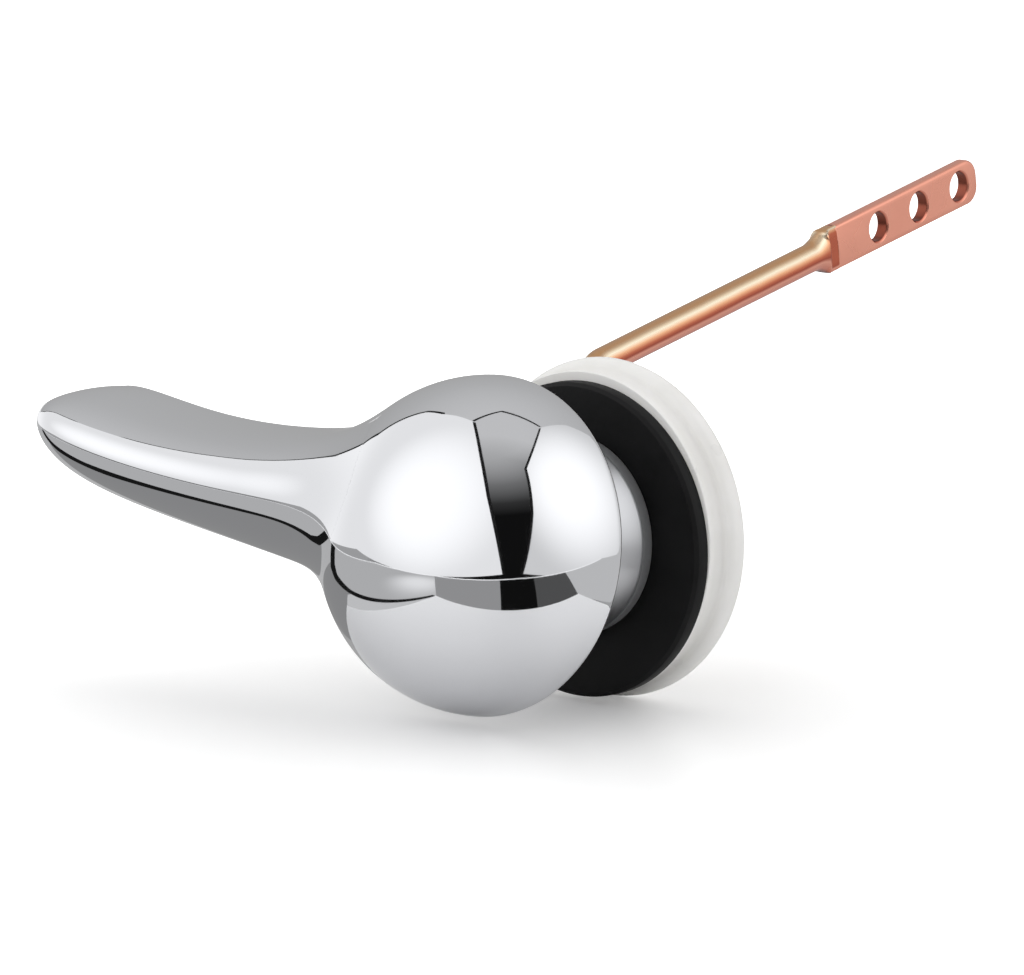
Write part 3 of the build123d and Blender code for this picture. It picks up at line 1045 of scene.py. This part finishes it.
def add_board(name, spots, material):
    """Flat board through the given points, which the camera doesn't see."""
    bm = bmesh.new()
    verts = [bm.verts.new(spot) for spot in spots]
    edges = [bm.edges.new((vert, verts[number - 1])) for number, vert in enumerate(verts)]
    bmesh.ops.contextual_create(bm, geom=edges)
    mesh = bpy.data.meshes.new(name)
    bm.to_mesh(mesh)
    bm.free()
    mesh.materials.append(material)
    board = bpy.data.objects.new(name, mesh)
    board.visible_camera = False
    bpy.context.scene.collection.objects.link(board)


def board_spots(facing, distance, corners):
    """Corners of a board that faces the ball, from the directions in which the ball sees them."""
    away = direction(*facing)
    rays = [direction(*corner) for corner in corners]
    return [ball_centre + ray * distance / ray.dot(away) for ray in rays]


frame_cloth, tree, shader, place = new_finish("black_frame_cloth")
shader.inputs["Base Color"].default_value = linear("0A0A0A")
shader.inputs["Roughness"].default_value = 0.9


def add_panel(name, facing, corners, frame_corners, hot, reach, strengths):
    """Cloth panel with a hot spot, and a black frame behind it that shows beyond its edges."""
    hot_spot = board_spots(facing, panel_distance, [hot])[0]
    cloth = cloth_finish(name + "_cloth", hot_spot, reach, strengths)
    add_board(name, board_spots(facing, panel_distance, corners), cloth)
    frame_spots = board_spots(facing, frame_gap * panel_distance, frame_corners)
    add_board(name + "_frame", frame_spots, frame_cloth)
    print(name, "hot spot at", [round(value, 2) for value in hot_spot])


add_panel(
    "left_panel", facing=(-40, 40),
    corners=[(9, -9), (-2, 43), (-15, 70), (-150, 75), (-147, 64), (-145, 56), (-100, -3)],
    frame_corners=[(11, -9), (1, 43), (-11, 72), (-152, 77), (-140, 70), (-40, 45), (-20, 0)],
    hot=(-55, 33), reach=0.95, strengths=(1.3, 0.94),
)
add_panel(
    "left_wing", facing=(-122, 15),
    corners=[
        (-99, -3), (-146, 63), (-145, 56), (-147, 46), (-143, 25), (-150, 10), (-168, 5), (-168, -6),
    ],
    frame_corners=[
        (-120, 5), (-143, 59), (-147.3, 56.6), (-148.6, 46), (-144.8, 25), (-150, 12), (-140, 5),
    ],
    hot=(-142, 5), reach=0.42, strengths=(1.1, 0.94),
)
add_panel(
    "right_panel", facing=(80, 25),
    corners=[(23, -9), (34, 29), (46, 58), (124, 61), (135, 45), (135, -4)],
    frame_corners=[
        (21.5, -9), (32, 29), (43, 58.5), (122, 62.5), (124, 55), (60, 45), (50, 0),
    ],
    hot=(71, 37), reach=0.8, strengths=(1.32, 0.72),
)

# %% [markdown]
# A dark bar closes the slit overhead. The lever stands on a small white sheet, and round it lies a
# darker table with a bright edge, which the chrome shows as a band with a white line above it. The
# table's parts are glowing boards just under the sheet's level, drawn as spots in millimetres right
# of
# and before the ball, each with how bright it glows. Some of that glow is painted light and shade:
# table_shade is painted shade under the lever, and the black board along the sheet's edge is a
# painted shadow gap. Later boards lie a little higher, and one has a painted pool of light.

# %% Bar and table boards
bar_distance = 0.55
bar_corners = [(-150, 76.5), (166, 68.2), (124, 62.5), (124, 61), (166, 66.7), (-150, 75)]
add_board("top_bar", board_spots((170, 72), bar_distance, bar_corners), frame_cloth)
floor_gap = 0.1 * MM
floor_z = solid_box[0][2] - floor_gap


def table_spot(right, ahead, below):
    """Spot on the table, in mm right of and before the ball and under the sheet's level."""
    aside = view_right * right + view_forward * ahead
    return Vector((*ball_centre.xy, floor_z - below * MM)) + aside * MM


edge_inset, edge_width = 0.96, 5
table_edge = [
    (-212, -300), (-212, 45), (-150, 91), (-82, 122), (-25, 127), (40, 127), (125, 108), (309, 64),
]
table_edge_inside = [(edge_inset * right, ahead - edge_width) for right, ahead in table_edge]
table_boards = {
    "table_left": ([(-36, -75), (-36, 14), (-34, 57)] + table_edge[3:0:-1] + [(-212, -75)], 0.5),
    "table_back": ([(-212, -75), (60, -75), (60, -300), (-212, -300)], 0.5),
    "table_front_left": ([(-34, 57), (6, 48), (15, 127), (-25, 127), (-82, 122)], 0.33),
    "table_front_right": ([(24, 44), (55, 38), (125, 108), (64, 121)], 0.09),
    "table_right": ([(55, 38), (125, 108), (309, 64), (309, -300), (48, -300)], 0.58),
    "table_shade": ([(-65, -8), (-30, -8), (-30, -75), (-108, -75), (-92, -60), (-78, -40)], 0.28),
    "sheet_left": ([(-36, 58), (-64, -6), (-62, -12), (-30, -12)], 0.62),
    # Painted shadow: a black line along the sheet's edge.
    "painted_shadow_gap": (
        [
            (-38.5, 59), (-69, -8), (-88, -40), (-110, -60), (-212, -130),
            (-200, -155), (-92, -64), (-76, -40), (-63.5, -8), (-35.6, 58.6),
        ],
        0.01,
    ),
    "table_edge": (table_edge + table_edge_inside[::-1], 1.1),
}
board_depth, board_step = 1, 0.1
# A painted pool of light on table_left, brightest round this spot.
painted_light_spot = table_spot(-72, 75, board_depth)
painted_light_reach = 55 * MM
painted_light_levels = {"table_left": 0.9}
for number, (name, (spots, level)) in enumerate(table_boards.items()):
    below = board_depth - board_step * number
    corners = [table_spot(right, ahead, below) for right, ahead in spots]
    strengths = painted_light_levels.get(name, level), level
    add_board(name, corners, cloth_finish(name + "_top", painted_light_spot, painted_light_reach, strengths))
print(len(table_boards), "table boards")

# %% [markdown]
# The floor is white for the camera and takes the lever's soft shadow. In the chrome it is only as
# large as the white sheet, which lies a little turned from the camera, so beyond the sheet's edges
# it is clear to glossy rays. Away from the ball it is lifted to plain white for the camera alone, so
# no light falls on the lever for it. Near the ball the lift is much weaker, which paints a darker
# shadow round the ball's foot on top of its real one.

# %% Floor
floor_half = 6.0
floor_mesh = bmesh.new()
bmesh.ops.create_grid(floor_mesh, x_segments=1, y_segments=1, size=floor_half)
bmesh.ops.translate(floor_mesh, verts=floor_mesh.verts[:], vec=(0, 0, floor_z))
floor_data = bpy.data.meshes.new("floor")
floor_mesh.to_mesh(floor_data)
floor_mesh.free()
floor = bpy.data.objects.new("floor", floor_data)
bpy.context.scene.collection.objects.link(floor)
print("floor at", round(1000 * floor_z, 1), "mm")

# %% White sheet
near_lift_painted_shadow, far_lift = 0.22, 1.0
lift_start, lift_end = 12 * MM, 220 * MM
sheet_turn = 12
sheet_half = 47 * MM
sheet_front = 50 * MM
sheet_back = -22 * MM
white_sheet, tree, shader, place = new_finish("white_sheet")
shader.inputs["Base Color"].default_value = linear("F2F2F2")
shader.inputs["Roughness"].default_value = 0.35
path = add_node(tree, "ShaderNodeLightPath")
centred = reckon(tree, "SUBTRACT", place, ball_centre, kind=VECTORS, output="Vector")
aside = reckon(tree, "DOT_PRODUCT", centred, direction(sheet_turn + 90, 0), kind=VECTORS)
ahead = reckon(tree, "DOT_PRODUCT", centred, direction(sheet_turn, 0), kind=VECTORS)
past_side = reckon(tree, "GREATER_THAN", reckon(tree, "ABSOLUTE", aside), sheet_half)
off_middle = reckon(tree, "SUBTRACT", ahead, (sheet_front + sheet_back) / 2)
off_length = reckon(tree, "ABSOLUTE", off_middle)
past_end = reckon(tree, "GREATER_THAN", off_length, (sheet_front - sheet_back) / 2)
beyond = reckon(tree, "MAXIMUM", past_side, past_end)
unseen = reckon(tree, "MULTIPLY", beyond, path.outputs["Is Glossy Ray"])
apart = reckon(tree, "DISTANCE", place, (*ball_centre.xy, floor_z), kind=VECTORS)
# The lift grows away from the ball, so near it the floor keeps a painted shadow for the camera.
lift_level = add_node(
    tree, "ShaderNodeMapRange",
    {"From Min": lift_start, "From Max": lift_end, "To Min": near_lift_painted_shadow, "To Max": far_lift},
    {"Value": apart}, interpolation_type="SMOOTHSTEP",
)
lift_seen = reckon(tree, "MULTIPLY", lift_level.outputs["Result"], path.outputs["Is Camera Ray"])
lift = add_node(tree, "ShaderNodeEmission", links={"Strength": lift_seen}).outputs["Emission"]
lit = add_node(tree, "ShaderNodeAddShader", links={0: shader.outputs["BSDF"], 1: lift})
clear = add_node(tree, "ShaderNodeBsdfTransparent").outputs["BSDF"]
ends = add_node(
    tree, "ShaderNodeMixShader", links={0: unseen, 1: lit.outputs["Shader"], 2: clear}
)
tree.links.new(ends.outputs["Shader"], tree.nodes["Material Output"].inputs["Surface"])
floor_data.materials.append(white_sheet)
print(white_sheet.name)

# %% [markdown]
# The room is white to the camera and a plain grey to everything else, a little lighter overhead. In
# front it is dark, which gives the chrome the black gap between the panels.

# %% Room
front_blend = 0.3


def grey(level):
    """Neutral colour."""
    return (level, level, level, 1)


def wall_colour(tree, height, stops):
    """Grey of a wall by its height, from 0 at the horizon to 1 overhead."""
    ramp = add_node(tree, "ShaderNodeValToRGB", links={"Fac": height})
    return ramp_colours(ramp, [(place, grey(level)) for place, level in stops])


room = bpy.data.worlds.new("room")
bpy.context.scene.world = room
room.use_nodes = True
tree = room.node_tree
tree.nodes.clear()
heading = add_node(tree, "ShaderNodeTexCoord").outputs["Generated"]
height = add_node(tree, "ShaderNodeSeparateXYZ", links={"Vector": heading}).outputs["Z"]
back_wall = wall_colour(tree, height, [(0.0, 0.4), (0.5, 0.5), (0.95, 0.63)])
front_wall = wall_colour(
    tree, height, [(0.5, 0.006), (0.62, 0.035), (0.78, 0.18), (0.95, 0.46)]
)
towards = reckon(tree, "DOT_PRODUCT", heading, view_forward, kind=VECTORS)
in_front = add_node(
    tree, "ShaderNodeMapRange", {"From Min": 0.0, "From Max": front_blend}, {"Value": towards}
)
walls = add_node(
    tree, "ShaderNodeMix",
    links={"Factor": in_front.outputs["Result"], "A": back_wall, "B": front_wall},
    data_type="RGBA",
)
path = add_node(tree, "ShaderNodeLightPath")
seen = add_node(
    tree, "ShaderNodeMix", {"B": grey(1)},
    {"Factor": path.outputs["Is Camera Ray"], "A": walls.outputs["Result"]}, data_type="RGBA",
)
background = add_node(tree, "ShaderNodeBackground", links={"Color": seen.outputs["Result"]})
add_node(tree, "ShaderNodeOutputWorld", links={"Surface": background.outputs["Background"]})
print(room.name)

# %% [markdown]
# The panels are only as bright as a mirror needs, so a lamp that mirrors don't see brings the
# moulded surfaces to the level at which a colour looks as it is written.

# %% Fill lamp
def add_lamp(name, heading, distance, size, power):
    """Square soft lamp that shines at the ball and doesn't show in glossy surfaces."""
    data = bpy.data.lights.new(name, "AREA")
    data.size = size
    data.energy = power
    lamp = bpy.data.objects.new(name, data)
    away = direction(*heading)
    lamp.location = ball_centre + away * distance
    lamp.rotation_euler = away.to_track_quat("Z", "Y").to_euler()
    lamp.visible_glossy = False
    bpy.context.scene.collection.objects.link(lamp)
    print(name, power, "W")


add_lamp("overhead_lamp", heading=(170, 62), distance=0.9, size=1.2, power=3.0)
